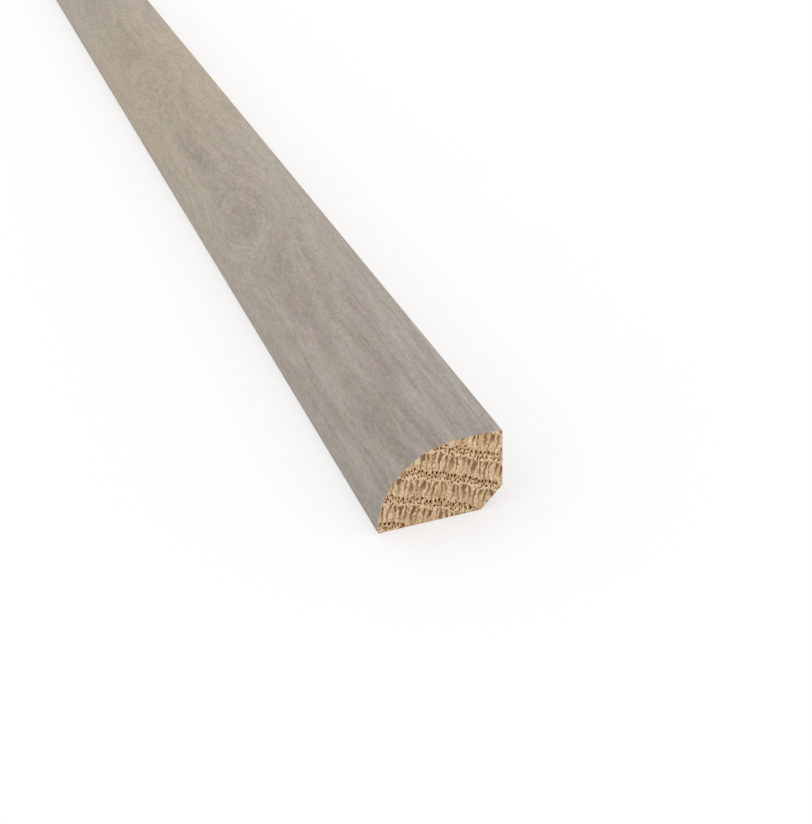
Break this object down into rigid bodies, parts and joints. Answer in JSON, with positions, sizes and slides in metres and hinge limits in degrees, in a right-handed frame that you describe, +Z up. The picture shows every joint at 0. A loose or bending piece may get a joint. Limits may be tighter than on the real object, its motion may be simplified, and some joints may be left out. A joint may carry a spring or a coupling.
{
  "type": "shoe moulding",
  "caption": "Straight length of solid oak shoe moulding with a quarter-round face, flat top and bevelled back corner, grey-washed on its show face, to cover the joint of skirting and floor.",
  "frame": {"origin": "on the surface the piece lies on, under the middle of its length and width", "axes": "+X along the length, +Y out of the narrow face that sits on the floor in use, +Z up out of the flat top"},
  "size_m": [1.9812, 0.019, 0.0127],
  "materials": {
    "grey_washed_oak": "grey-washed and matt-lacquered face, raw sawn oak at the ends and back"
  },
  "bodies": {
    "root": {"shoe_moulding": "grey_washed_oak"}
  },
  "joints": []
}
